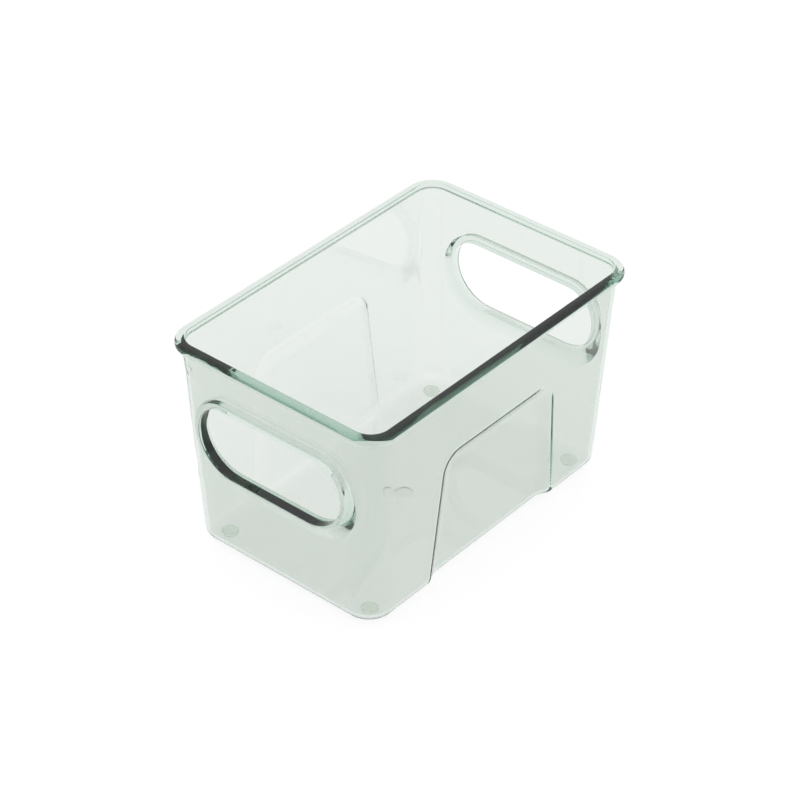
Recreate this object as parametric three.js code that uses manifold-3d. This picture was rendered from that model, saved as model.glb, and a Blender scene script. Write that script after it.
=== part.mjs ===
// Clear refrigerator bin: one moulded tub that stands on four stick-on bumper feet.
// Sizes are in millimetres and +Z is up. The origin is on the shelf, under the middle of the bin.
// X runs across the width and Y along the length. The two handle walls face -Y and +Y.
import * as THREE from "three";
import { mergeVertices, toCreasedNormals } from "three/addons/utils/BufferGeometryUtils.js";
import Module from "manifold-3d";

// Overall size, measured over the rim.
const LENGTH = 205;
const WIDTH = 138;
const HEIGHT = 125;

// Walls. They lean outwards towards the rim so that the tub leaves its mould.
const WALL = 2.2;
const LEAN_X = 0.045;
const LEAN_Y = 0.0423;
const CORNER_AT_BASE = 14.5;
const CORNER_AT_RIM = 12.6;
const BASE_EDGE_RADIUS = 6;

// Rim: a solid bead along the top edge, rounded on top and flat underneath.
const RIM_HEIGHT = 4.4;
const RIM_OVERHANG = 3.5;
const RIM_CORNER = 16.1;
const RIM_OUTER_RADIUS = 2.6;
const RIM_INNER_RADIUS = 0.9;
const RIM_LOWER_RADIUS = 1.1;
const RIM_ROOT_RADIUS = 0.8;

// Handle slot in each short wall. Its ends are tighter above than below, and a raised lip with an upright
// face runs round it. Above the slot the lip ends in a step. Below it the face is narrower, and the lip
// slopes down into the wall over a longer way.
const SLOT_BELOW_RIM = 27.4;
const SLOT_HEIGHT = 39.1;
const SLOT_END_MARGIN = 22.9;
const SLOT_TOP_RADIUS_SHARE = 0.394;
const SLOT_BOTTOM_RADIUS_SHARE = 0.547;
const SLOT_DRAFT = 0.3;
const LIP_THICKNESS = 3.8;
const LIP_FACE_LOSS_BELOW = 2.6;
const LIP_ROOT_GAIN_BELOW = 6.9;
const LIP_STANDOFF = 3.5;
const LIP_EDGE_RADIUS = 0.4;

// Pressed-in panel in each long wall, open at the bottom edge.
const PANEL_DEPTH = 3.4;
const PANEL_END_MARGIN = 53;
const PANEL_TOP_SHARE = 0.66;
const PANEL_SIDE_LEAN = 0.089;
const PANEL_CORNER = 12.5;
const PANEL_SLOPE_WIDTH = 9;

// Mould gate mark under the middle of the base.
const GATE_RADIUS = 5.5;
const GATE_DEPTH = 0.3;

// Feet: a domed bumper and the adhesive disc that holds it to the base.
const FOOT_RADIUS = 4.5;
const FOOT_HEIGHT = 2.3;
const FOOT_SOLE_RADIUS = 2.3;
const FOOT_STRAIGHT_HEIGHT = 0.7;
const ADHESIVE_RADIUS = 4.2;
const ADHESIVE_THICKNESS = 0.3;
const FOOT_SIDE_MARGIN = 22.2;
const FOOT_END_MARGIN = 22.3;

// Heights and places that follow from the sizes above.
const BASE_Z = FOOT_HEIGHT + ADHESIVE_THICKNESS;
const RIM_UNDERSIDE_Z = HEIGHT - RIM_HEIGHT;
const SLOT_TOP_Z = HEIGHT - SLOT_BELOW_RIM;
const SLOT_BOTTOM_Z = SLOT_TOP_Z - SLOT_HEIGHT;
const SLOT_TOP_RADIUS = SLOT_HEIGHT * SLOT_TOP_RADIUS_SHARE;
const SLOT_BOTTOM_RADIUS = SLOT_HEIGHT * SLOT_BOTTOM_RADIUS_SHARE;
const SLOT_JOINT = Math.asin(
  (SLOT_HEIGHT - SLOT_TOP_RADIUS - SLOT_BOTTOM_RADIUS) / (SLOT_BOTTOM_RADIUS - SLOT_TOP_RADIUS),
);
const SLOT_BOTTOM_HALF = WIDTH / 2 - SLOT_END_MARGIN - SLOT_BOTTOM_RADIUS;
const SLOT_TOP_HALF = SLOT_BOTTOM_HALF + (SLOT_BOTTOM_RADIUS - SLOT_TOP_RADIUS) * Math.cos(SLOT_JOINT);
const PANEL_TOP_Z = HEIGHT * PANEL_TOP_SHARE;
const PANEL_HALF_AT_BASE = LENGTH / 2 - PANEL_END_MARGIN;

// Fineness of the rounded edges.
const CORNER_STEPS = 5;
const SLOT_STEPS = 16;
const EDGE_STEPS = 5;
const LATHE_STEPS = 28;

const wasm = await Module();
wasm.setup();

// Half-width of the outer wall face at height z.
function wallHalfX(z) {
  return WIDTH / 2 - RIM_OVERHANG - (RIM_UNDERSIDE_Z - z) * LEAN_X;
}

// Half-length of the outer wall face at height z.
function wallHalfY(z) {
  return LENGTH / 2 - RIM_OVERHANG - (RIM_UNDERSIDE_Z - z) * LEAN_Y;
}

// Outer corner radius at height z: it tightens a little from the base up to the rim.
function wallCorner(z) {
  const share = (z - BASE_Z) / (RIM_UNDERSIDE_Z - BASE_Z);
  return CORNER_AT_BASE + (CORNER_AT_RIM - CORNER_AT_BASE) * share;
}

// Angles evenly spread over a quarter turn or part of one, ends included.
function sweep(from, to, steps) {
  return Array.from({ length: steps + 1 }, (_, i) => from + ((to - from) * i) / steps);
}

// Closed outline of a rounded rectangle, counter-clockwise.
function roundedRectangle(halfX, halfY, radius) {
  const path = new THREE.Path();
  const quarter = Math.PI / 2;
  path.absarc(halfX - radius, -halfY + radius, radius, -quarter, 0);
  path.absarc(halfX - radius, halfY - radius, radius, 0, quarter);
  path.absarc(-halfX + radius, halfY - radius, radius, quarter, 2 * quarter);
  path.absarc(-halfX + radius, -halfY + radius, radius, 2 * quarter, 3 * quarter);
  return path.getPoints(CORNER_STEPS);
}

// Closed outline of the handle slot, grown outwards by an offset, counter-clockwise.
// An extra is added in full at the bottom and less and less towards the top.
function slotOutline(offset, extraBelow) {
  const right = sweep(-Math.PI / 2, Math.PI / 2, SLOT_STEPS).map((angle) => {
    const upper = angle > SLOT_JOINT;
    const centreX = upper ? SLOT_TOP_HALF : SLOT_BOTTOM_HALF;
    const centreZ = upper ? SLOT_TOP_Z - SLOT_TOP_RADIUS : SLOT_BOTTOM_Z + SLOT_BOTTOM_RADIUS;
    const ownRadius = upper ? SLOT_TOP_RADIUS : SLOT_BOTTOM_RADIUS;
    const radius = ownRadius + offset + extraBelow * ((1 - Math.sin(angle)) / 2) ** 1.5;
    return new THREE.Vector2(centreX + radius * Math.cos(angle), centreZ + radius * Math.sin(angle));
  });
  const left = right.map((point) => new THREE.Vector2(-point.x, point.y)).reverse();
  return [...right, ...left];
}

// Outline of the pressed-in panel, shrunk by an inset. It runs on below the base.
function panelOutline(inset) {
  const tilt = Math.atan(PANEL_SIDE_LEAN);
  const radius = PANEL_CORNER - 0.6 * inset;
  const centreZ = PANEL_TOP_Z - inset - radius;
  const sideAt = (z) => PANEL_HALF_AT_BASE - (z - BASE_Z) * PANEL_SIDE_LEAN - inset / Math.cos(tilt);
  const centreU = sideAt(centreZ) - radius / Math.cos(tilt);
  const path = new THREE.Path();
  path.absarc(centreU, centreZ, radius, tilt, Math.PI / 2);
  path.absarc(-centreU, centreZ, radius, Math.PI / 2, Math.PI - tilt);
  path.lineTo(-sideAt(-BASE_EDGE_RADIUS), -BASE_EDGE_RADIUS);
  path.lineTo(sideAt(-BASE_EDGE_RADIUS), -BASE_EDGE_RADIUS);
  return path.getPoints(CORNER_STEPS);
}

// Closed solid whose skin runs through a stack of outlines that all have the same number of points.
function loft(rings) {
  const count = rings[0].length;
  const last = (rings.length - 1) * count;
  const faces = [];
  for (let start = 0; start < last; start += count) {
    for (let i = 0; i < count; i += 1) {
      const here = start + i;
      const next = start + ((i + 1) % count);
      faces.push(here, next, next + count);
      faces.push(here, next + count, here + count);
    }
  }
  for (let i = 1; i + 1 < count; i += 1) {
    faces.push(0, i + 1, i);
    faces.push(last, last + i, last + i + 1);
  }
  const geometry = new THREE.BufferGeometry().setFromPoints(rings.flat());
  geometry.setIndex(faces);
  return geometry;
}

// Outline laid flat at height z.
function atHeight(outline, z) {
  return outline.map((point) => new THREE.Vector3(point.x, point.y, z));
}

// Outline laid on the leaning -Y wall, held off its outer face by a distance.
function onShortWall(outline, standoff) {
  return outline.map((point) => new THREE.Vector3(point.x, -wallHalfY(point.y) - standoff, point.y));
}

// Outline laid on the upright face of the -Y lip, or behind that face by a depth.
function onLipFace(outline, depth) {
  const faceY = -wallHalfY(SLOT_TOP_Z) - LIP_STANDOFF;
  return outline.map((point) => new THREE.Vector3(point.x, faceY + depth, point.y));
}

// Outline laid on the leaning +X wall, held off its outer face by a distance.
function onLongWall(outline, standoff) {
  return outline.map((point) => new THREE.Vector3(wallHalfX(point.y) + standoff, point.x, point.y));
}

// Section through the leaning walls at height z, moved inwards by an inset.
// The long walls can be moved in further, by the depth of their panels.
function wallRing(z, inset, panelDepth) {
  const outline = roundedRectangle(
    wallHalfX(z) - inset - panelDepth,
    wallHalfY(z) - inset,
    wallCorner(z) - inset,
  );
  return atHeight(outline, z);
}

// Section through the rim at height z, a given distance in from its outermost face.
function rimRing(z, inset) {
  return atHeight(roundedRectangle(WIDTH / 2 - inset, LENGTH / 2 - inset, RIM_CORNER - inset), z);
}

// Rings that round the lower edge of the walls.
function lowerEdgeRings(floorZ, inset, radius, panelDepth) {
  return sweep(-Math.PI / 2, 0, EDGE_STEPS).map((angle) => wallRing(
    floorZ + radius * (1 + Math.sin(angle)),
    inset + radius * (1 - Math.cos(angle)),
    panelDepth,
  ));
}

// Outside of the leaning walls as a solid block, without the rim.
function wallBlock(panelDepth) {
  return loft([
    ...lowerEdgeRings(BASE_Z, 0, BASE_EDGE_RADIUS, panelDepth),
    wallRing(HEIGHT - RIM_INNER_RADIUS, 0, panelDepth),
  ]);
}

// Outside of the whole tub as a solid block: walls, rounded lower edge and rim bead.
function outerBlock() {
  const root = sweep(0, Math.PI / 2, 2).map((angle) => wallRing(
    RIM_UNDERSIDE_Z - RIM_ROOT_RADIUS * (1 - Math.sin(angle)),
    -RIM_ROOT_RADIUS * (1 - Math.cos(angle)),
    0,
  ));
  const lowerLip = sweep(-Math.PI / 2, 0, 2).map((angle) => rimRing(
    RIM_UNDERSIDE_Z + RIM_LOWER_RADIUS * (1 + Math.sin(angle)),
    RIM_LOWER_RADIUS * (1 - Math.cos(angle)),
  ));
  const crown = sweep(0, Math.PI / 2, EDGE_STEPS).map((angle) => rimRing(
    HEIGHT - RIM_OUTER_RADIUS * (1 - Math.sin(angle)),
    RIM_OUTER_RADIUS * (1 - Math.cos(angle)),
  ));
  return loft([...lowerEdgeRings(BASE_Z, 0, BASE_EDGE_RADIUS, 0), ...root, ...lowerLip, ...crown]);
}

// Inside of the tub as a solid block. Its top edge flares out to round the inner edge of the rim.
function cavityBlock(panelDepth) {
  const flare = sweep(0, Math.PI / 2, EDGE_STEPS).map((angle) => wallRing(
    HEIGHT - RIM_INNER_RADIUS * (1 - Math.sin(angle)),
    WALL - RIM_INNER_RADIUS * (1 - Math.cos(angle)),
    panelDepth,
  ));
  const mouth = flare.at(-1).map((point) => new THREE.Vector3(point.x, point.y, HEIGHT + WALL));
  const innerRadius = BASE_EDGE_RADIUS - WALL;
  return loft([...lowerEdgeRings(BASE_Z + WALL, WALL, innerRadius, panelDepth), ...flare, mouth]);
}

// Block with sloping sides that presses the panel into the +X wall, moved inwards by an inset.
function panelPress(inset) {
  const slope = PANEL_SLOPE_WIDTH / PANEL_DEPTH;
  return loft([-2 * PANEL_DEPTH, PANEL_DEPTH / 2].map((standoff) => (
    onLongWall(panelOutline(-standoff * slope), standoff - inset)
  )));
}

// Raised lip round the handle slot of the -Y wall, still without its hole.
function lipBlock() {
  const edge = sweep(0, Math.PI / 2, 3).map((angle) => onLipFace(
    slotOutline(LIP_THICKNESS - LIP_EDGE_RADIUS * (1 - Math.cos(angle)), -LIP_FACE_LOSS_BELOW),
    LIP_EDGE_RADIUS * (1 - Math.sin(angle)),
  ));
  const root = slotOutline(LIP_THICKNESS, LIP_ROOT_GAIN_BELOW);
  return loft([onShortWall(root, -WALL / 2), onShortWall(root, 0), ...edge]);
}

// Hole of the handle slot. It widens slightly from the inside of the wall out to the rounded lip.
function slotHole() {
  const mouth = sweep(0, Math.PI / 2, 3).map((angle) => onLipFace(
    slotOutline(SLOT_DRAFT + LIP_EDGE_RADIUS * (1 - Math.cos(angle)), 0),
    LIP_EDGE_RADIUS * (1 - Math.sin(angle)),
  ));
  return loft([
    onShortWall(slotOutline(0, 0), -2 * WALL),
    onShortWall(slotOutline(0, 0), -WALL),
    ...mouth,
    onLipFace(slotOutline(SLOT_DRAFT + LIP_EDGE_RADIUS, 0), -WALL),
  ]);
}

// Shallow round gate mark under the middle of the base.
function gateMark() {
  const geometry = new THREE.CylinderGeometry(GATE_RADIUS, GATE_RADIUS, 2 * GATE_DEPTH, LATHE_STEPS);
  geometry.rotateX(Math.PI / 2);
  geometry.translate(0, 0, BASE_Z);
  return geometry;
}

// Solid for cutting and joining, made from the points and faces of a geometry.
function toSolid(geometry) {
  const plain = geometry.clone();
  plain.deleteAttribute("normal");
  plain.deleteAttribute("uv");
  const merged = mergeVertices(plain, 1e-5);
  return new wasm.Manifold(new wasm.Mesh({
    numProp: 3,
    vertProperties: new Float32Array(merged.attributes.position.array),
    triVerts: new Uint32Array(merged.index.array),
  }));
}

// Geometry made from a finished solid, with crisp normals along its sharp edges.
function toGeometry(solid) {
  const mesh = solid.getMesh();
  const geometry = new THREE.BufferGeometry();
  geometry.setAttribute("position", new THREE.BufferAttribute(mesh.vertProperties, 3));
  geometry.setIndex(new THREE.BufferAttribute(mesh.triVerts, 1));
  return toCreasedNormals(geometry, Math.PI / 6);
}

// The same solid on both opposite walls: as built, and turned half a turn about Z.
function onBothWalls(geometry) {
  const opposite = geometry.clone().rotateZ(Math.PI);
  return toSolid(geometry).add(toSolid(opposite));
}

// The moulded tub.
function tubGeometry() {
  const outerPanels = onBothWalls(panelPress(0)).subtract(toSolid(wallBlock(PANEL_DEPTH)));
  const innerPanels = onBothWalls(panelPress(WALL)).subtract(toSolid(cavityBlock(PANEL_DEPTH)));
  const outside = toSolid(outerBlock()).subtract(outerPanels);
  const inside = toSolid(cavityBlock(0)).subtract(innerPanels);
  const tub = outside
    .add(onBothWalls(lipBlock()))
    .subtract(inside)
    .subtract(onBothWalls(slotHole()))
    .subtract(toSolid(gateMark()));
  return toGeometry(tub);
}

// Bumper foot: a flat sole, a domed side and a short straight skirt up to the adhesive.
function footGeometry() {
  const domeHeight = FOOT_HEIGHT - FOOT_STRAIGHT_HEIGHT;
  const dome = sweep(0, Math.PI / 2, 4).map((angle) => new THREE.Vector2(
    FOOT_SOLE_RADIUS + (FOOT_RADIUS - FOOT_SOLE_RADIUS) * Math.sin(angle),
    domeHeight * (1 - Math.cos(angle)),
  ));
  const profile = [
    new THREE.Vector2(0, 0),
    ...dome,
    new THREE.Vector2(FOOT_RADIUS, FOOT_HEIGHT),
    new THREE.Vector2(0, FOOT_HEIGHT),
  ];
  return new THREE.LatheGeometry(profile, LATHE_STEPS).rotateX(Math.PI / 2);
}

// Adhesive disc between a bumper foot and the base.
function adhesiveGeometry() {
  const geometry = new THREE.CylinderGeometry(
    ADHESIVE_RADIUS,
    ADHESIVE_RADIUS,
    ADHESIVE_THICKNESS,
    LATHE_STEPS,
  );
  return geometry.rotateX(Math.PI / 2).translate(0, 0, FOOT_HEIGHT + ADHESIVE_THICKNESS / 2);
}

function material(color, roughness) {
  return new THREE.MeshStandardMaterial({ color, roughness, metalness: 0 });
}

function named(name, geometry, finish) {
  const mesh = new THREE.Mesh(geometry, finish);
  mesh.name = name;
  return mesh;
}

// One foot with its adhesive disc, for each corner of the base.
function addFeet(bin) {
  const footX = WIDTH / 2 - FOOT_SIDE_MARGIN;
  const footY = LENGTH / 2 - FOOT_END_MARGIN;
  for (const [end, signY] of [["front", -1], ["back", 1]]) {
    for (const [side, signX] of [["left", -1], ["right", 1]]) {
      const foot = named(`foot_${end}_${side}`, footGeometry(), material(0xdfe4de, 0.25));
      const disc = named(`adhesive_${end}_${side}`, adhesiveGeometry(), material(0xe6e8e0, 0.5));
      foot.position.set(signX * footX, signY * footY, 0);
      disc.position.set(signX * footX, signY * footY, 0);
      bin.add(foot, disc);
    }
  }
}

const bin = new THREE.Group();
bin.name = "fridge_bin";
bin.add(named("tub", tubGeometry(), material(0xd3ddd3, 0.06)));
addFeet(bin);

export default bin;
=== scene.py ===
# %% [markdown]
# # A clear refrigerator bin
#
# This lesson builds the finished look of one household object: an open bin for a refrigerator shelf.
# The real bin is a single injection moulding of clear, faintly grey-green plastic that stands on four
# stick-on bumper feet. The CAD model is loaded first as a fixed frame. It gives every size and place,
# and each new piece takes over from one of its solids.
#
# Clear plastic shows every facet of its mesh, because light bends at each face that it goes through. So
# the pieces here are smooth surfaces, worked out as whole arrays of points from a formula.

# %% Load the frame
import math

import bmesh
import bpy
import numpy as np
from mathutils import Matrix, Vector


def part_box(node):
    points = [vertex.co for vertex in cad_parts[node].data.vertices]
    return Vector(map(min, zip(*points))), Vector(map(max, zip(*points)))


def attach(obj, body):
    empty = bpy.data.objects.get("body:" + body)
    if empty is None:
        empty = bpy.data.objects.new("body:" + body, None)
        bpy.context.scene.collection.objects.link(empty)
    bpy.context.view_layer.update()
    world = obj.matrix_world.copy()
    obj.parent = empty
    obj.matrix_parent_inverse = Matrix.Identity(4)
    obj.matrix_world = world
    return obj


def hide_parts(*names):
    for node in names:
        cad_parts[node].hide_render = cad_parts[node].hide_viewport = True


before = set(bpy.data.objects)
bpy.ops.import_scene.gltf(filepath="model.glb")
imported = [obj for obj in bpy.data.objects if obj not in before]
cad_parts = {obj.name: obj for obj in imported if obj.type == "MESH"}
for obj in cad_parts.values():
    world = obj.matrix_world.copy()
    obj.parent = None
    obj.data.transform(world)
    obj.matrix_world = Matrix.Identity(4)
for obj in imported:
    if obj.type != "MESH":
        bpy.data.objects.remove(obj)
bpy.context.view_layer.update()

# %% [markdown]
# ## Sizes
#
# The overall size, the level of the base and the places of the feet are read from the frame. The finer
# sizes are the mould maker's: wall thickness, lean, radii, and the shape of the rim, slots and panels.
# The tub is worked out in millimetres and turned into metres when its mesh is made.

# %% Sizes of the tub, in millimetres
MM = 0.001
tub_low, tub_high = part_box("tub")
HALF_WIDTH = tub_high.x / MM
HALF_LENGTH = tub_high.y / MM
TOP = tub_high.z / MM
BASE = tub_low.z / MM

WALL = 2.2
LEAN_X = 0.045
LEAN_Y = 0.0423
CORNER_AT_BASE = 14.5
CORNER_AT_RIM = 12.6
BASE_EDGE_RADIUS = 6.0

RIM_HEIGHT = 4.4
RIM_OVERHANG = 3.5
RIM_OUTER_RADIUS = 2.6
RIM_INNER_RADIUS = 0.9
RIM_LOWER_RADIUS = 1.1
RIM_ROOT_RADIUS = 0.8
RIM_UNDERSIDE = TOP - RIM_HEIGHT

SLOT_HEIGHT = 39.1
SLOT_TOP = TOP - 27.4
SLOT_BOTTOM = SLOT_TOP - SLOT_HEIGHT
SLOT_TOP_RADIUS = SLOT_HEIGHT * 0.394
SLOT_BOTTOM_RADIUS = SLOT_HEIGHT * 0.547
SLOT_RADIUS_STEP = SLOT_BOTTOM_RADIUS - SLOT_TOP_RADIUS
SLOT_JOINT = math.asin((SLOT_HEIGHT - SLOT_TOP_RADIUS - SLOT_BOTTOM_RADIUS) / SLOT_RADIUS_STEP)
SLOT_BOTTOM_HALF = HALF_WIDTH - 22.9 - SLOT_BOTTOM_RADIUS
SLOT_TOP_HALF = SLOT_BOTTOM_HALF + SLOT_RADIUS_STEP * math.cos(SLOT_JOINT)
SLOT_DRAFT = 0.3
SLOT_INNER_RADIUS = 0.15
LIP_THICKNESS = 3.8
LIP_FACE_LOSS_BELOW = 2.6
LIP_ROOT_GAIN_BELOW = 6.9
LIP_SPREAD_POWER = 1.5
LIP_STANDOFF = 3.5
LIP_EDGE_RADIUS = 0.4
LIP_ROOT_RADIUS = 0.2
MOUTH_RADIUS = 0.3
LIP_FACE = -(HALF_LENGTH - RIM_OVERHANG - (RIM_UNDERSIDE - SLOT_TOP) * LEAN_Y) - LIP_STANDOFF

PANEL_DEPTH = 3.4
PANEL_TOP = TOP * 0.66
PANEL_HALF_AT_BASE = HALF_LENGTH - 53
PANEL_SIDE_LEAN = 0.089
PANEL_CORNER = 12.5
PANEL_SLOPE_WIDTH = 9.0
PANEL_EDGE_SOFTNESS = 1.0

GATE_RADIUS = 5.5
GATE_DEPTH = 0.3
GATE_EDGE_START = 2.0
GATE_EDGE_WIDTH = 2.4
print("slot", round(2 * (SLOT_BOTTOM_HALF + SLOT_BOTTOM_RADIUS), 1), "x", SLOT_HEIGHT, "mm")

# %% [markdown]
# ## The bare wall
#
# The walls lean outwards so that the tub slips off its mould, and the corners tighten a little from the
# base up to the rim. Any level of the wall is then a rounded rectangle, set by three linear rules.

# %% Rules for the leaning walls
def half_x(z):
    """Half-width of the outer wall face: the rim's, less its overhang, less the lean times the drop."""
    return HALF_WIDTH - RIM_OVERHANG - (RIM_UNDERSIDE - z) * LEAN_X


def half_y(z):
    """Half-length of the outer wall face, by the same rule along the length."""
    return HALF_LENGTH - RIM_OVERHANG - (RIM_UNDERSIDE - z) * LEAN_Y


def corner(z):
    """Outer corner radius: a straight line between its values at the base and under the rim."""
    share = (z - BASE) / (RIM_UNDERSIDE - BASE)
    return CORNER_AT_BASE + (CORNER_AT_RIM - CORNER_AT_BASE) * share


def smooth_step(t):
    """Rises from 0 to 1 as t does, with level ends: 3 t squared less 2 t cubed."""
    t = np.clip(t, 0, 1)
    return t * t * (3 - 2 * t)


print("walls at the base:", round(2 * half_x(BASE), 1), "x", round(2 * half_y(BASE), 1), "mm")

# %% [markdown]
# ## Rows of the tub
#
# The whole skin of the tub is one sheet of rows. They start at the gate mark under the middle of the
# base, run out to the lower edge, up the outside, over the rim, down the inside and back to the middle
# of the floor. Each row knows the level that sets its outline, its own height, how far it is moved in
# from the outer wall face, and, on the flat base, how far it has shrunk towards the round gate mark.
#
# Rows lie closer together where something is fitted into the wall later: up to the level where the side
# panels round their corners, through that corner, and on up to just above the handle slots.

# %% Row builder
GUARD = 0.25
LEVELS_TO_PANEL_CORNER = 20
LEVELS_BY_PANEL_CORNER = 8
LEVELS_TO_SLOT_TOP = 6
PATCH_BOTTOM = BASE + BASE_EDGE_RADIUS + 0.4
PANEL_CORNER_LEVEL = 68.0
PANEL_PATCH_TOP = 90.0
SLOT_PATCH_TOP = 112.0
WALL_LEVELS = np.concatenate([
    np.linspace(PATCH_BOTTOM, PANEL_CORNER_LEVEL, LEVELS_TO_PANEL_CORNER + 1)[:-1],
    np.linspace(PANEL_CORNER_LEVEL, PANEL_PATCH_TOP, LEVELS_BY_PANEL_CORNER + 1)[:-1],
    np.linspace(PANEL_PATCH_TOP, SLOT_PATCH_TOP, LEVELS_TO_SLOT_TOP + 1)[:-1],
    np.linspace(SLOT_PATCH_TOP, RIM_UNDERSIDE - RIM_ROOT_RADIUS - 0.3, 5),
])
PANEL_ROWS = LEVELS_TO_PANEL_CORNER + LEVELS_BY_PANEL_CORNER
SLOT_FIRST_LEVEL = 12
SLOT_ROWS = PANEL_ROWS + LEVELS_TO_SLOT_TOP - SLOT_FIRST_LEVEL


def rows(z, inset=0.0, outline_level=None, share=1.0, ring=1.0):
    """Rows as a table, one line each: outline level, height, inset, share of full size, ring radius."""
    z = np.atleast_1d(np.asarray(z, float))
    level = z if outline_level is None else outline_level
    values = (level, z, inset, share, ring)
    return np.stack([np.broadcast_to(np.asarray(value, float), z.shape) for value in values], axis=1)


def arc(first, last, steps):
    """Angles in radians, evenly spread from one number of degrees to another, ends included."""
    return np.radians(np.linspace(first, last, steps + 1))


def floor_rows(z, inset, level, gate_depth):
    """Rows of the flat base, from the middle outwards: rings round the gate mark, then a blend outwards.

    The gate mark is a dimple whose depth falls off by a smooth step over a narrow band at its edge.
    """
    radius = np.array([0.8, 2.0, 3.2, 3.6, 4.0, 4.3, 4.6, 4.9, 5.2, 5.5, 5.8, 7.0])
    dimple = gate_depth * (1 - smooth_step((radius - GATE_RADIUS + GATE_EDGE_START) / GATE_EDGE_WIDTH))
    share = np.array([0.08, 0.2, 0.34, 0.48, 0.62, 0.76, 0.88, 0.96, 0.992])
    rings = rows(z + dimple, inset, level, 0.0, radius)
    blend = rows(np.full(share.shape, z), inset, level, share, radius[-1])
    return np.concatenate([rings, blend])


def lower_edge_rows(z, inset, radius):
    """Rows of the rounded lower edge: a quarter circle from the flat base up to the wall."""
    turn = arc(-90, 0, 9)
    return rows(z + radius * (1 + np.sin(turn)), inset + radius * (1 - np.cos(turn)))


def rim_rows():
    """Rows over the rim bead: root fillet, flat underside, lower corner, side, crown and inner edge.

    Each is a quarter circle, its height from the sine of the turn and its inset from the cosine. A guard
    row on the flat underside stands close to each fillet and keeps the flat part flat.
    """
    root = arc(0, 90, 5)
    lower = arc(-90, 0, 6)
    crown = arc(0, 90, 9)
    inner = arc(90, 0, 9)
    side = RIM_OVERHANG - RIM_LOWER_RADIUS
    inner_level = TOP - RIM_INNER_RADIUS
    return np.concatenate([
        rows(RIM_UNDERSIDE - RIM_ROOT_RADIUS * (1 - np.sin(root)),
             -RIM_ROOT_RADIUS * (1 - np.cos(root)), RIM_UNDERSIDE),
        rows([RIM_UNDERSIDE] * 2, [-RIM_ROOT_RADIUS - GUARD, -side + GUARD], RIM_UNDERSIDE),
        rows(RIM_UNDERSIDE + RIM_LOWER_RADIUS * (1 + np.sin(lower)),
             -side - RIM_LOWER_RADIUS * np.cos(lower), RIM_UNDERSIDE),
        rows(TOP - RIM_OUTER_RADIUS * (1 - np.sin(crown)),
             -RIM_OVERHANG + RIM_OUTER_RADIUS * (1 - np.cos(crown)), RIM_UNDERSIDE),
        rows(TOP - RIM_INNER_RADIUS * (1 - np.sin(inner)),
             WALL - RIM_INNER_RADIUS * (1 - np.cos(inner)), inner_level),
    ])


outer_floor = floor_rows(BASE, BASE_EDGE_RADIUS, BASE, GATE_DEPTH)
outer_edge = lower_edge_rows(BASE, 0.0, BASE_EDGE_RADIUS)
inner_floor = floor_rows(BASE + WALL, BASE_EDGE_RADIUS, BASE + WALL, 0.0)[::-1]
inner_edge = lower_edge_rows(BASE + WALL, WALL, BASE_EDGE_RADIUS - WALL)[::-1]
outer_wall = rows(WALL_LEVELS)
inner_wall = rows(WALL_LEVELS[::-1], WALL)
below_rim = rows([TOP - RIM_INNER_RADIUS - 0.4], WALL)
tub_rows = np.concatenate([
    outer_floor, outer_edge, outer_wall, rim_rows(), below_rim, inner_wall, inner_edge, inner_floor,
])
OUTER_START = len(outer_floor) + len(outer_edge)
INNER_START = len(tub_rows) - len(inner_floor) - len(inner_edge) - len(inner_wall)
print(len(tub_rows), "rows")

# %% [markdown]
# ## Columns of the tub
#
# The bin is its own mirror image both ways, so only a quarter is worked out: half of the front wall, a
# corner, and half of the right-hand wall. Columns run along it from the middle of the front.

# %% Quarter outline
FRONT_COLUMNS = 16
CORNER_COLUMNS = 14
SIDE_COLUMNS = 8
PANEL_CORNER_COLUMNS = LEVELS_BY_PANEL_CORNER
PANEL_TOP_COLUMNS = 10
SLOT_EDGE_COLUMN = 8
PANEL_PATCH_HALF = 56.0
PANEL_CORNER_START = 33.0


def quarter_outline(level, inset):
    """x and y of a quarter outline: a straight front, an arc about the corner, a straight side."""
    centre_x = half_x(level) - corner(level)
    centre_y = half_y(level) - corner(level)
    radius = corner(level) - inset
    along = np.linspace(0, 1, FRONT_COLUMNS + 1)
    turn = arc(0, 90, CORNER_COLUMNS)[1:]
    back = np.linspace(0, 1, SIDE_COLUMNS + 1)[1:]
    panel = np.concatenate([
        np.linspace(PANEL_PATCH_HALF, PANEL_CORNER_START, PANEL_CORNER_COLUMNS + 1)[1:],
        np.linspace(PANEL_CORNER_START, 0, PANEL_TOP_COLUMNS + 1)[1:],
    ])
    one = np.ones_like(level)
    x = np.concatenate([
        centre_x * along,
        centre_x + radius * np.sin(turn),
        (centre_x + radius) * np.ones(SIDE_COLUMNS + len(panel)),
    ], axis=1)
    y = np.concatenate([
        -(centre_y + radius) * np.ones(FRONT_COLUMNS + 1),
        -(centre_y + radius * np.cos(turn)),
        -(centre_y + (PANEL_PATCH_HALF - centre_y) * back),
        -one * panel,
    ], axis=1)
    return x, y


def sheet(table, x, y):
    """Points of the rows: full outline times share, plus the rest from a ring in the same direction."""
    _, z, _, share, ring = (column[:, None] for column in table.T)
    reach = np.hypot(x, y)
    shrink = share + (1 - share) * ring / reach
    return np.stack([x * shrink, y * shrink, np.broadcast_to(z, x.shape)], axis=2)


def grid_faces(points, keep=None):
    """Four-sided faces of a grid of points, as numbers into its flattened points, less any not kept."""
    row_count, column_count = points.shape[:2]
    number = np.arange(row_count * column_count).reshape(row_count, column_count)
    faces = np.stack([number[:-1, :-1], number[:-1, 1:], number[1:, 1:], number[1:, :-1]], axis=2)
    return faces.reshape(-1, 4) if keep is None else faces[keep]


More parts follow.
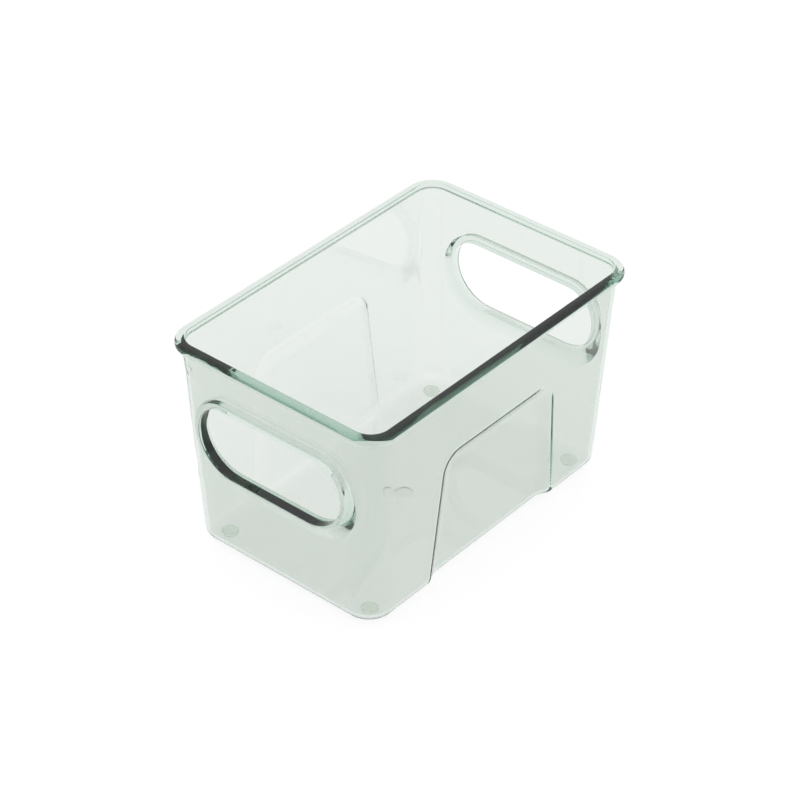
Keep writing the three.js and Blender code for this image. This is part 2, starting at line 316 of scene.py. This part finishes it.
outline_x, outline_y = quarter_outline(tub_rows[:, :1], tub_rows[:, 2:3])
main_points = sheet(tub_rows, outline_x, outline_y)
SLOT_COLUMNS = FRONT_COLUMNS + SLOT_EDGE_COLUMN
PANEL_FIRST_COLUMN = FRONT_COLUMNS + CORNER_COLUMNS + SIDE_COLUMNS
keep = np.ones((len(tub_rows) - 1, main_points.shape[1] - 1), bool)
outer_slot_row = OUTER_START + SLOT_FIRST_LEVEL
inner_slot_row = INNER_START + len(WALL_LEVELS) - 1 - SLOT_FIRST_LEVEL - SLOT_ROWS
keep[outer_slot_row:outer_slot_row + SLOT_ROWS, :SLOT_COLUMNS] = False
keep[inner_slot_row:inner_slot_row + SLOT_ROWS, :SLOT_COLUMNS] = False
keep[:OUTER_START + PANEL_ROWS, PANEL_FIRST_COLUMN:] = False
inner_panel_row = INNER_START + len(WALL_LEVELS) - 1 - PANEL_ROWS
keep[inner_panel_row:, PANEL_FIRST_COLUMN:] = False
print("quarter sheet", main_points.shape[:2], "points,", int(keep.sum()), "faces kept")

# %% [markdown]
# ## Handle slots
#
# Each short wall has a slot whose ends are tighter above than below. A raised lip with an upright face
# runs round it. Above the slot the lip ends in a step, and below it the lip slopes down into the wall.
# A plain boolean cut would leave long thin faces that bend light in streaks. Here rings of points close
# in from a rectangle in the wall to the slot's own outline, climb the lip, go through the hole and
# spread out again over the inside of the wall.

# %% Slot rings
SLOT_TOP_STEPS = 10
SLOT_END_STEPS = 2 * (SLOT_COLUMNS - SLOT_TOP_STEPS) + SLOT_ROWS
ROUNDING_STEPS = 5
FLANK_STEPS = 7
TUNNEL_STEPS = 8
CLOSING_SHARES = [0, 0.35, 0.7, 1]
CLOSING_MARGIN = 1.4
GUARD_MARGIN = 0.6


def slot_outline(offset, extra_below=0.0):
    """Half of the slot outline grown by an offset: level top, tight arc, wide arc, level bottom.

    An extra is added times ((1 less the sine of the turn) / 2) to a power: in full at the bottom and not
    at all at the top.
    """
    offset = np.asarray(offset, float)
    turn = arc(90, -90, SLOT_END_STEPS)[1:-1]
    upper = turn > SLOT_JOINT
    end_x = np.where(upper, SLOT_TOP_HALF, SLOT_BOTTOM_HALF)
    end_z = np.where(upper, SLOT_TOP - SLOT_TOP_RADIUS, SLOT_BOTTOM + SLOT_BOTTOM_RADIUS)
    extra = extra_below * ((1 - np.sin(turn)) / 2) ** LIP_SPREAD_POWER
    radius = np.where(upper, SLOT_TOP_RADIUS, SLOT_BOTTOM_RADIUS) + offset + extra
    along = np.linspace(0, 1, SLOT_TOP_STEPS + 1)
    one = np.ones_like(offset)
    x = np.concatenate([
        SLOT_TOP_HALF * along * one,
        end_x + radius * np.cos(turn),
        SLOT_BOTTOM_HALF * along[::-1] * one,
    ], axis=1)
    z = np.concatenate([
        (SLOT_TOP + offset) * np.ones(SLOT_TOP_STEPS + 1),
        end_z + radius * np.sin(turn),
        (SLOT_BOTTOM - offset - extra_below) * np.ones(SLOT_TOP_STEPS + 1),
    ], axis=1)
    return x, z


def wall_y(x, z, inset=0.0):
    """y of the front wall, moved in by an inset, its rounded corners included."""
    centre_x = half_x(z) - corner(z)
    centre_y = half_y(z) - corner(z)
    past = np.maximum(x - centre_x, 0)
    return -(centre_y + np.sqrt((corner(z) - inset) ** 2 - past ** 2))


def patch_edge(first_row, direction):
    """x and z of the wall's own points round the slot, from top middle to bottom middle."""
    rows_here = first_row + direction * np.arange(SLOT_ROWS + 1)
    top = main_points[rows_here[0], :SLOT_COLUMNS]
    side = main_points[rows_here, SLOT_COLUMNS]
    bottom = main_points[rows_here[-1], :SLOT_COLUMNS][::-1]
    edge = np.concatenate([top, side, bottom])
    return edge[:, 0], edge[:, 2]


def between(start, end, shares):
    """Rings that go from one ring of x and z to another in the given shares."""
    shares = np.asarray(shares)[:, None]
    return [(1 - shares) * a + shares * b for a, b in zip(start, end)]


def ring_points(x, y, z):
    """Points of some rings, from x, y and z that may be one ring or one number each."""
    return np.stack(np.broadcast_arrays(x, y, z), axis=2)


def rounded(start, corner_ring, end):
    """Rings round a corner, by a quadratic curve: (1-t)^2 start + 2t(1-t) corner + t^2 end."""
    t = np.linspace(0, 1, ROUNDING_STEPS + 1)[1:-1, None, None]
    return (1 - t) ** 2 * start + 2 * t * (1 - t) * corner_ring + t ** 2 * end


def lip_rings():
    """Rings that climb the lip: a small fillet at its root, its straight flank, its edge and its face.

    The root ring lies on the wall and the corner ring on the upright face. Below the slot the root is
    further out and the corner further in, so the flank between them turns from a step into a slope.
    """
    x, z = slot_outline(LIP_THICKNESS + np.array([[GUARD_MARGIN], [LIP_ROOT_RADIUS]]), LIP_ROOT_GAIN_BELOW)
    near = ring_points(x, wall_y(x, z), z)
    x, z = slot_outline(np.array([[LIP_THICKNESS]]), LIP_ROOT_GAIN_BELOW)
    root = ring_points(x, wall_y(x, z), z)
    x, z = slot_outline(np.array([[LIP_THICKNESS]]), -LIP_FACE_LOSS_BELOW)
    corner_ring = ring_points(x, LIP_FACE, z)
    x, z = slot_outline(np.array([[LIP_THICKNESS - LIP_EDGE_RADIUS]]), -LIP_FACE_LOSS_BELOW)
    face = ring_points(x, LIP_FACE, z)
    length = np.linalg.norm(corner_ring - root, axis=2)[0][:, None]
    climb = np.linspace(LIP_ROOT_RADIUS / length, 1 - LIP_EDGE_RADIUS / length, FLANK_STEPS + 1)
    flank = root + climb * (corner_ring - root)
    fillet = rounded(near[-1:], root, flank[:1])
    edge = rounded(flank[-1:], corner_ring, face)
    return np.concatenate([near, fillet, flank, edge, face])


def slot_patch():
    """All rings of half a slot, from the outer wall over the lip and through the hole to the inner wall.

    The corners at the slot's mouth and at its inner end are quarter circles, by sine and cosine.
    """
    turn = arc(0, 90, 5)[:, None]
    bend, straight = 1 - np.sin(turn), 1 - np.cos(turn)

    wide = slot_outline(np.array([[LIP_THICKNESS + CLOSING_MARGIN]]), LIP_ROOT_GAIN_BELOW)
    x, z = between(patch_edge(outer_slot_row + SLOT_ROWS, -1), wide, CLOSING_SHARES)
    wall = ring_points(x, wall_y(x, z), z)
    x, z = slot_outline(SLOT_DRAFT + MOUTH_RADIUS * np.concatenate([[[2.0]], straight[::-1]]))
    mouth = ring_points(x, LIP_FACE + MOUTH_RADIUS * np.concatenate([[[0.0]], bend[::-1]]), z)

    depth = np.linspace(0, 1, TUNNEL_STEPS + 1)[1:, None]
    x, z = slot_outline(SLOT_DRAFT * (1 - depth))
    last = -half_y(z) + WALL - SLOT_INNER_RADIUS
    tunnel = ring_points(x, (1 - depth) * (LIP_FACE + MOUTH_RADIUS) + depth * last, z)
    x, z = slot_outline(SLOT_INNER_RADIUS * np.concatenate([straight, [[2.0], [5.0]]]))
    drop = SLOT_INNER_RADIUS * np.concatenate([bend, [[0.0], [0.0]]])
    brink = ring_points(x, wall_y(x, z, WALL) - drop, z)
    x, z = slot_outline(np.array([[2.2], [4.5], [7.0]]))
    inside = ring_points(x, wall_y(x, z, WALL), z)
    x, z = between(slot_outline(np.array([[9.0]])), patch_edge(inner_slot_row, 1), CLOSING_SHARES)
    inner = ring_points(x, wall_y(x, z, WALL), z)
    return np.concatenate([wall, lip_rings(), mouth, tunnel, brink, inside, inner])


slot_points = slot_patch()
slot_faces = grid_faces(slot_points)[:, ::-1]
print("slot patch", slot_points.shape[:2])

# %% [markdown]
# ## Side panels
#
# Each long wall is pressed in over an arch-shaped area that is open at the bottom edge. The arch has a
# crisp outer edge, and its slope eases out into a flat floor. Rings follow the arch so that the edge
# falls on a line of points, and an ordinary grid fills the flat floor inside the last ring.

# %% Panel rings
PANEL_SIDE_STEPS = LEVELS_TO_PANEL_CORNER
PANEL_CORNER_STEPS = 2 * LEVELS_BY_PANEL_CORNER
PANEL_TILT = math.atan(PANEL_SIDE_LEAN)
PANEL_SLOPE_POWER = 1.8
PANEL_EDGE_INSETS = [-1.5, -1.1, -0.8, -0.5, -0.2, 0.1, 0.4, 0.8]
PANEL_SLOPE_INSETS = [1.5, 2.7, 4.0, 5.4, 6.8, 8.0, 9.1, 10.3]


def panel_side(z, inset):
    """Distance from the middle of the wall to the arch's leaning side, shrunk by an inset."""
    return PANEL_HALF_AT_BASE - (z - BASE) * PANEL_SIDE_LEAN - inset / math.cos(PANEL_TILT)


def arch(inset):
    """Half of the arch shrunk by insets, from its foot to its top: leaning line, arc, level line."""
    inset = np.asarray(inset, float)[:, None]
    radius = PANEL_CORNER - inset
    centre_z = PANEL_TOP - PANEL_CORNER
    centre_u = panel_side(centre_z, 0) - PANEL_CORNER / math.cos(PANEL_TILT)
    turn = np.linspace(PANEL_TILT, math.pi / 2, PANEL_CORNER_STEPS + 1)
    climb = np.linspace(0, 1, PANEL_SIDE_STEPS + 1)[:-1]
    foot_u = panel_side(PATCH_BOTTOM, inset)
    start_u = centre_u + radius * math.cos(PANEL_TILT)
    start_z = centre_z + radius * math.sin(PANEL_TILT)
    level = np.linspace(1, 0, PANEL_TOP_COLUMNS + 1)[1:]
    u = np.concatenate([
        foot_u + (start_u - foot_u) * climb,
        centre_u + radius * np.cos(turn),
        centre_u * level * np.ones_like(inset),
    ], axis=1)
    z = np.concatenate([
        PATCH_BOTTOM + (start_z - PATCH_BOTTOM) * climb,
        centre_z + radius * np.sin(turn),
        (centre_z + radius) * np.ones(PANEL_TOP_COLUMNS),
    ], axis=1)
    return u, z


def panel_drop(u, z):
    """How far the wall is pressed in: depth times 1 less (1 less t) to a power, t the slope's share.

    The distance in from the arch's edge is taken from its side, its top or its corner, whichever counts
    at the point, and is rounded off by a parabola within the edge's softness.
    """
    centre_z = PANEL_TOP - PANEL_CORNER
    centre_u = panel_side(centre_z, 0) - PANEL_CORNER / math.cos(PANEL_TILT)
    du, dz = u - centre_u, z - centre_z
    normal_u, normal_z = math.cos(PANEL_TILT), math.sin(PANEL_TILT)
    from_side = (panel_side(z, 0) - u) * normal_u
    from_top = PANEL_TOP - z
    in_corner = (normal_u * dz - normal_z * du > 0) & (du > 0)
    straight = np.where(du > 0, from_side, np.minimum(from_side, from_top))
    inside = np.where(in_corner, PANEL_CORNER - np.hypot(du, dz), straight)
    soft = PANEL_EDGE_SOFTNESS
    near_edge = (inside + soft) ** 2 / (4 * soft)
    inside = np.where(inside > soft, inside, np.where(inside > -soft, near_edge, 0))
    t = np.clip(inside / PANEL_SLOPE_WIDTH, 0, 1)
    return PANEL_DEPTH * (1 - (1 - t) ** PANEL_SLOPE_POWER)


def panel_rings():
    """u and z of the rings of half a panel, from the edge of its patch to the last ring of the slope."""
    levels = WALL_LEVELS[:PANEL_ROWS + 1]
    top_u = -main_points[OUTER_START, PANEL_FIRST_COLUMN + 1:, 1]
    edge_u = np.concatenate([np.full(PANEL_ROWS + 1, PANEL_PATCH_HALF), top_u])
    edge_z = np.concatenate([levels, np.full(top_u.shape, PANEL_PATCH_TOP)])
    u, z = arch(PANEL_EDGE_INSETS + PANEL_SLOPE_INSETS)
    outer_u, outer_z = between((edge_u, edge_z), (u[0], z[0]), [0, 0.4, 0.75])
    return np.concatenate([outer_u, u]), np.concatenate([outer_z, z])


def panel_floor(u, z):
    """u and z of the grid inside the last ring, blended between its four edges."""
    left_u, left_z = u[-1, :PANEL_ROWS + 1], z[-1, :PANEL_ROWS + 1]
    top_u, top_z = u[-1, PANEL_ROWS:], z[-1, PANEL_ROWS:]
    column_count = len(top_u)
    s = np.linspace(0, 1, column_count)[None, :]
    t = np.linspace(0, 1, PANEL_ROWS + 1)[:, None]
    bottom_u = left_u[0] * (1 - s)
    right_z = PATCH_BOTTOM + (top_z[-1] - PATCH_BOTTOM) * t
    grid_u = (1 - s) * left_u[:, None] + (1 - t) * bottom_u + t * top_u
    grid_u -= (1 - s) * ((1 - t) * left_u[0] + t * left_u[-1])
    grid_z = (1 - s) * left_z[:, None] + s * right_z + (1 - t) * PATCH_BOTTOM + t * top_z
    left_corners = (1 - t) * left_z[0] + t * left_z[-1]
    right_corners = (1 - t) * PATCH_BOTTOM + t * top_z[-1]
    grid_z -= (1 - s) * left_corners + s * right_corners
    return grid_u, grid_z


def on_long_wall(u, z, inset):
    """Points on the right-hand wall, moved in by an inset and by the panel's depth."""
    return np.stack([half_x(z) - inset - panel_drop(u, z), -u, z], axis=2)


def below_panel(table, foot_u):
    """Points under a panel: the columns from its foot, carried round the lower edge to the middle."""
    level, z, inset = (column[:, None] for column in table.T[:3])
    spread = PANEL_SIDE_LEAN * (PATCH_BOTTOM - z)
    spread = spread * np.clip((PANEL_PATCH_HALF - foot_u) / 5, 0, 1) * np.clip(foot_u / 30, 0, 1)
    u = foot_u + spread
    return sheet(table, half_x(level) - inset - panel_drop(u, z), -u)


ring_u, ring_z = panel_rings()
floor_u, floor_z = panel_floor(ring_u, ring_z)
foot_u = np.concatenate([ring_u[:, 0], floor_u[0, 1:]])
panel_blocks = []
for inset, turned in [(0.0, False), (WALL, True)]:
    ring_block = on_long_wall(ring_u, ring_z, inset)
    floor_block = on_long_wall(floor_u, floor_z, inset)
    ring_faces = grid_faces(ring_block)
    floor_faces = grid_faces(floor_block)
    panel_blocks.append((ring_block, ring_faces if turned else ring_faces[:, ::-1]))
    panel_blocks.append((floor_block, floor_faces[:, ::-1] if turned else floor_faces))
for table in (tub_rows[:OUTER_START + 1], tub_rows[INNER_START + len(WALL_LEVELS) - 1:]):
    block = below_panel(table, foot_u)
    panel_blocks.append((block, grid_faces(block)))
print("panel rings", ring_u.shape, "floor", floor_u.shape)

# %% [markdown]
# ## Put the tub together
#
# The quarter's blocks share their edge points. They are mirrored into four quarters, a mirrored copy's
# faces are turned round again, and points in the same place are merged. Two small holes are left in the
# middle of the base, one on each side, and they are closed with a flat face each.

# %% Mesh maker
def four_quarters(points, faces):
    """The block and its mirror images in X, in Y and in both, with faces that still point outwards."""
    copies = []
    for side_x, side_y in ((1, 1), (-1, 1), (1, -1), (-1, -1)):
        turned_over = faces[:, ::-1] if side_x * side_y < 0 else faces
        copies.append((points.reshape(-1, 3) * [side_x, side_y, 1], turned_over))
    return copies


def closed_piece(name, blocks, merge_mm=0.004):
    """A closed mesh object from blocks of points in millimetres and their faces."""
    starts = np.cumsum([0] + [len(points) for points, _ in blocks[:-1]])
    points = np.concatenate([points for points, _ in blocks]) * MM
    faces = np.concatenate([faces + start for (_, faces), start in zip(blocks, starts)])
    mesh = bpy.data.meshes.new(name)
    mesh.from_pydata(points.tolist(), [], faces.tolist())
    work = bmesh.new()
    work.from_mesh(mesh)
    bmesh.ops.remove_doubles(work, verts=work.verts, dist=merge_mm * MM)
    open_edges = [edge for edge in work.edges if edge.is_boundary]
    bmesh.ops.holes_fill(work, edges=open_edges, sides=0)
    bad = sum(not edge.is_manifold for edge in work.edges)
    volume = work.calc_volume(signed=True) / MM ** 3
    work.to_mesh(mesh)
    work.free()
    mesh.polygons.foreach_set("use_smooth", np.ones(len(mesh.polygons), bool))
    piece = bpy.data.objects.new(name, mesh)
    bpy.context.scene.collection.objects.link(piece)
    print(name, len(mesh.polygons), "faces,", bad, "open edges,", round(volume), "cubic mm")
    return piece


quarter_blocks = [(main_points, grid_faces(main_points, keep)), (slot_points, slot_faces), *panel_blocks]
tub = closed_piece("clear_tub", [copy for block in quarter_blocks for copy in four_quarters(*block)])

# %% [markdown]
# ## Bumper feet and their adhesive discs
#
# The bin stands on four clear domed bumpers, the kind sold on a sheet. Each is a little dome of soft
# clear plastic with a flat sole, on a thinner disc of clear adhesive. Both are round, so a profile is
# turned about the foot's own axis. A hair's breadth of air is left between the pieces that touch, so
# that light sees three separate pieces.

# %% Turned pieces
TURNED_STEPS = 64
AIR_GAP = 0.012
FOOT_SOLE_SHARE = 0.51
FOOT_DOME_SHARE = 0.72
FOOT_EDGE_RADIUS = 0.22


def turned(profile_radius, profile_z, centre):
    """A profile turned about a vertical axis: x is radius times cosine, y radius times sine."""
    turn = np.radians(np.linspace(0, 360, TURNED_STEPS + 1))[None, :]
    radius = np.asarray(profile_radius, float)[:, None]
    z = np.broadcast_to(np.asarray(profile_z, float)[:, None], (len(radius), TURNED_STEPS + 1))
    points = np.stack([centre[0] + radius * np.cos(turn), centre[1] + radius * np.sin(turn), z], axis=2)
    return points.reshape(-1, 3), grid_faces(points)


def foot_profile(radius, sole, height):
    """Sole, quarter-ellipse dome, short skirt with a rounded top edge, and flat top of a bumper."""
    dome = arc(0, 90, 14)
    dome_height = height * FOOT_DOME_SHARE
    edge = arc(0, 90, 4)
    r = np.concatenate([
        [0.2, 0.7 * sole, 0.97 * sole],
        sole + (radius - sole) * np.sin(dome),
        radius - FOOT_EDGE_RADIUS * (1 - np.cos(edge)),
        [0.9 * radius, 0.5 * radius, 0.2],
    ])
    z = np.concatenate([
        [0, 0, 0],
        dome_height * (1 - np.cos(dome)),
        height - FOOT_EDGE_RADIUS * (1 - np.sin(edge)),
        [height] * 3,
    ])
    return r, z


def disc_profile(radius, low, high):
    """Flat disc whose edge bulges slightly, like a film that has been cut and pressed."""
    middle = (low + high) / 2
    half = (high - low) / 2
    edge = arc(-90, 90, 6)
    r = np.concatenate([[0.2, 0.6 * radius], radius - half + half * np.cos(edge), [0.6 * radius, 0.2]])
    z = np.concatenate([[low, low], middle + half * np.sin(edge), [high, high]])
    return r, z


def box_in_mm(node):
    """A CAD node's low and high corner and its centre, in millimetres."""
    low, high = (np.array(corner_point) / MM for corner_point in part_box(node))
    return low, high, (low + high) / 2


feet, discs = [], []
for place in ("front_left", "front_right", "back_left", "back_right"):
    low, high, centre = box_in_mm("foot_" + place)
    radius = (high[0] - low[0]) / 2
    profile = foot_profile(radius, FOOT_SOLE_SHARE * radius, high[2] - AIR_GAP)
    feet.append(closed_piece("bumper_" + place, [turned(*profile, centre)]))
    low, high, centre = box_in_mm("adhesive_" + place)
    profile = disc_profile((high[0] - low[0]) / 2, low[2], high[2] - AIR_GAP)
    discs.append(closed_piece("adhesive_film_" + place, [turned(*profile, centre)]))

# %% [markdown]
# ## Material sums
#
# Materials are node trees. A small class wraps a node's socket so that sums on it can be written as
# plain Python, and one method makes any other node from its type, its settings and its inputs.

# %% Socket class
class Wire:
    """A node socket. Python operators on it add Math nodes, and node() adds any other node."""

    def __init__(self, tree, socket=None):
        self.tree = tree
        self.socket = socket

    def node(self, kind, settings=None, inputs=None, output=0):
        """Adds a node of a type, sets its settings first, then its inputs, and returns one output."""
        made = self.tree.nodes.new(kind)
        for key, value in (settings or {}).items():
            setattr(made, key, value)
        for key, value in (inputs or {}).items():
            if isinstance(value, Wire):
                self.tree.links.new(value.socket, made.inputs[key])
            else:
                made.inputs[key].default_value = value
        return Wire(self.tree, made.outputs[output]) if made.outputs else Wire(self.tree)

    def sum(self, operation, first, second):
        """A Math node that works out one operation on two values."""
        return self.node("ShaderNodeMath", {"operation": operation}, {0: first, 1: second})

    def __add__(self, other):
        return self.sum("ADD", self, other)

    def __radd__(self, other):
        return self.sum("ADD", other, self)

    def __mul__(self, other):
        return self.sum("MULTIPLY", self, other)

    def __rmul__(self, other):
        return self.sum("MULTIPLY", other, self)

    def __pow__(self, other):
        return self.sum("POWER", self, other)

    def below(self, limit):
        """1 where this value is less than a limit, and 0 elsewhere."""
        return self.sum("LESS_THAN", self, limit)


def clear_material(name, shader, colour_per_metre=None, build=None):
    """A see-through material: a Principled shader, an absorbing inside, and what build() adds to it."""
    material = bpy.data.materials.new(name)
    material.use_nodes = True
    tree = material.node_tree
    tree.nodes.clear()
    start = Wire(tree)
    varied = build(start) if build else {}
    inputs = {"Transmission Weight": 1.0, **shader, **varied}
    ends = {"Surface": start.node("ShaderNodeBsdfPrincipled", None, inputs)}
    if colour_per_metre:
        inside = {"Color": colour_per_metre[0], "Density": colour_per_metre[1]}
        ends["Volume"] = start.node("ShaderNodeVolumeAbsorption", None, inside)
    start.node("ShaderNodeOutputMaterial", None, ends)
    return material


# %% [markdown]
# ## The clear tinted plastic
#
# Most of the tub's colour builds up with the length of plastic that light goes through: a single wall is
# pale, while the rim, where light is piped along the wall, is dark grey-green. An absorbing inside gives
# that, and a faint tint at each face gives the rest. The surface also gets what a polished mould leaves:
# a very slight waviness from the flow of the plastic, hairline rub marks, a thin haze that comes and
# goes, and a satin gate mark under the base.

# %% Clear plastic
TUB_COLOUR = (0.34, 0.60, 0.49, 1.0)
TUB_DENSITY = 36.0
FACE_TINT = (0.851, 0.868, 0.843, 1.0)
GATE_SATIN = 0.3


def tub_surface(start):
    """Bump and roughness of the moulded plastic, in the tub's own coordinates."""
    place = start.node("ShaderNodeTexCoord", None, None, "Object")
    flow = start.node("ShaderNodeTexNoise", None, {"Vector": place, "Scale": 45.0, "Detail": 1.0}, "Fac")
    stretched = start.node("ShaderNodeMapping", None, {"Vector": place, "Scale": (900.0, 160.0, 420.0)})
    rub_marks = {"Vector": stretched, "Scale": 1.0, "Detail": 3.0}
    rub = start.node("ShaderNodeTexNoise", None, rub_marks, "Fac")
    haze = start.node("ShaderNodeTexNoise", None, {"Vector": place, "Scale": 28.0, "Detail": 4.0}, "Fac")
    flat = start.node("ShaderNodeVectorMath", {"operation": "MULTIPLY"}, {0: place, 1: (1.0, 1.0, 0.0)})
    reach = start.node("ShaderNodeVectorMath", {"operation": "LENGTH"}, {0: flat}, "Value")
    height = start.node("ShaderNodeSeparateXYZ", None, {0: place}, "Z")
    gate = reach.below((GATE_RADIUS - 0.1) * MM) * height.below((BASE + GATE_DEPTH + 0.2) * MM)
    wavy = start.node("ShaderNodeBump", None, {"Height": flow, "Strength": 1.0, "Distance": 0.00002})
    worn = start.node("ShaderNodeBump", None, {"Height": rub, "Strength": 1.0, "Distance": 0.0000006,
                                               "Normal": wavy})
    roughness = 0.012 + 0.03 * haze ** 2 + GATE_SATIN * gate
    return {"Normal": worn, "Roughness": roughness}


tub_plastic = clear_material(
    "clear tinted plastic",
    {"IOR": 1.52, "Base Color": FACE_TINT},
    (TUB_COLOUR, TUB_DENSITY),
    tub_surface,
)
print("tub plastic:", len(tub_plastic.node_tree.nodes), "nodes")

# %% [markdown]
# ## Bumper and adhesive
#
# The bumpers are soft clear polyurethane, cast as a drop, so they are glossy with a fine dull bloom. The
# adhesive is a film with tiny trapped bubbles, which make it a little hazy.

# %% Soft clear plastics
def bumper_surface(start):
    """A faint unevenness and bloom on the cast dome."""
    place = start.node("ShaderNodeTexCoord", None, None, "Object")
    fine = {"Vector": place, "Scale": 900.0, "Detail": 3.0}
    grain = start.node("ShaderNodeTexNoise", None, fine, "Fac")
    bump = start.node("ShaderNodeBump", None, {"Height": grain, "Strength": 1.0, "Distance": 0.000004})
    return {"Normal": bump, "Roughness": 0.01 + 0.04 * grain}


def adhesive_surface(start):
    """Tiny bubbles in the film, as dents and as haze."""
    place = start.node("ShaderNodeTexCoord", None, None, "Object")
    cells = start.node("ShaderNodeTexVoronoi", None, {"Vector": place, "Scale": 1600.0}, "Distance")
    bubble = cells.below(0.22)
    bump = start.node("ShaderNodeBump", None, {"Height": bubble, "Strength": 1.0, "Distance": 0.00001})
    return {"Normal": bump, "Roughness": 0.02 + 0.1 * bubble}


bumper_plastic = clear_material(
    "clear bumper", {"IOR": 1.49, "Base Color": (0.93, 0.96, 0.93, 1.0)}, None, bumper_surface)
adhesive_film = clear_material(
    "clear adhesive", {"IOR": 1.47, "Base Color": (0.95, 0.96, 0.93, 1.0)}, None, adhesive_surface)
print("soft plastics:", bumper_plastic.name, "and", adhesive_film.name)

# %% [markdown]
# ## Join the pieces to the frame
#
# Nothing on this bin moves, so every piece rides on the one body, and stands for its CAD solid.

# %% Ride on the frame
def fit(piece, node, material):
    """Gives a piece its material and puts it in the place of a CAD node."""
    piece.data.materials.append(material)
    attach(piece, "root")
    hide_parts(node)


fit(tub, "tub", tub_plastic)
for place, foot, disc in zip(("front_left", "front_right", "back_left", "back_right"), feet, discs):
    fit(foot, "foot_" + place, bumper_plastic)
    fit(disc, "adhesive_" + place, adhesive_film)

# %% [markdown]
# ## Camera
#
# A long lens from above the near corner, as in a product shot: it sees the rim, the floor, both handle
# slots and the pressed-in panel.

# %% Camera
CAMERA_AZIMUTH = math.radians(40.04)
CAMERA_ELEVATION = math.radians(36.20)
CAMERA_ROLL = math.radians(0.433)
CAMERA_DISTANCE = 1.4497
CAMERA_AIM = Vector((-0.0083, 0.0076, 0.0553))
LENS = 126.39

back = Vector((
    math.sin(CAMERA_AZIMUTH) * math.cos(CAMERA_ELEVATION),
    -math.cos(CAMERA_AZIMUTH) * math.cos(CAMERA_ELEVATION),
    math.sin(CAMERA_ELEVATION),
))
level_right = Vector((math.cos(CAMERA_AZIMUTH), math.sin(CAMERA_AZIMUTH), 0))
level_up = back.cross(level_right)
right = math.cos(CAMERA_ROLL) * level_right + math.sin(CAMERA_ROLL) * level_up
up = back.cross(right)
camera_data = bpy.data.cameras.new("product camera")
camera_data.lens = LENS
camera_data.sensor_width = 36
camera = bpy.data.objects.new("product camera", camera_data)
turn_to_aim = Matrix((right, up, back)).transposed().to_4x4()
camera.matrix_world = Matrix.Translation(CAMERA_AIM + CAMERA_DISTANCE * back) @ turn_to_aim
bpy.context.scene.collection.objects.link(camera)
bpy.context.scene.camera = camera
print("camera at", [round(value, 3) for value in camera.location])

# %% [markdown]
# ## Floor and light
#
# Clear plastic is lit by what is behind it, so no lamp is aimed at the bin. The pale floor gives off an
# even light of its own, like a light table, and an even white sky is all round it. Light that is piped
# along the walls and the rim bounces many times, so the bounce limits are raised.

# %% Studio
FLOOR_HALF = 3.0
FLOOR_DROP = 0.0002
FLOOR_GLOW = 0.85
LIGHT_BOUNCES = 48
floor_corners = [(side_x * FLOOR_HALF, side_y * FLOOR_HALF, 0)
                 for side_x, side_y in ((-1, -1), (1, -1), (1, 1), (-1, 1))]
floor_mesh = bpy.data.meshes.new("studio floor")
floor_mesh.from_pydata(floor_corners, [], [(0, 1, 2, 3)])
floor = bpy.data.objects.new("studio floor", floor_mesh)
floor.location.z = -FLOOR_DROP
bpy.context.scene.collection.objects.link(floor)

floor_material = bpy.data.materials.new("pale floor")
floor_material.use_nodes = True
floor_shader = floor_material.node_tree.nodes["Principled BSDF"]
floor_shader.inputs["Base Color"].default_value = (0.2, 0.2, 0.2, 1)
floor_shader.inputs["Emission Color"].default_value = (1.0, 1.0, 1.0, 1)
floor_shader.inputs["Emission Strength"].default_value = FLOOR_GLOW
floor_shader.inputs["Roughness"].default_value = 0.9
floor_shader.inputs["Specular IOR Level"].default_value = 0.0
floor_mesh.materials.append(floor_material)

world = bpy.data.worlds.new("white studio")
bpy.context.scene.world = world
world.use_nodes = True
sky = world.node_tree.nodes["Background"]
sky.inputs["Color"].default_value = (0.97, 1.0, 0.99, 1.0)
sky.inputs["Strength"].default_value = 1.0
bpy.context.scene.view_settings.view_transform = "Standard"
bpy.context.scene.cycles.max_bounces = LIGHT_BOUNCES
bpy.context.scene.cycles.transmission_bounces = LIGHT_BOUNCES
bpy.context.scene.cycles.glossy_bounces = LIGHT_BOUNCES
print("floor glow", FLOOR_GLOW, "with", LIGHT_BOUNCES, "light bounces")
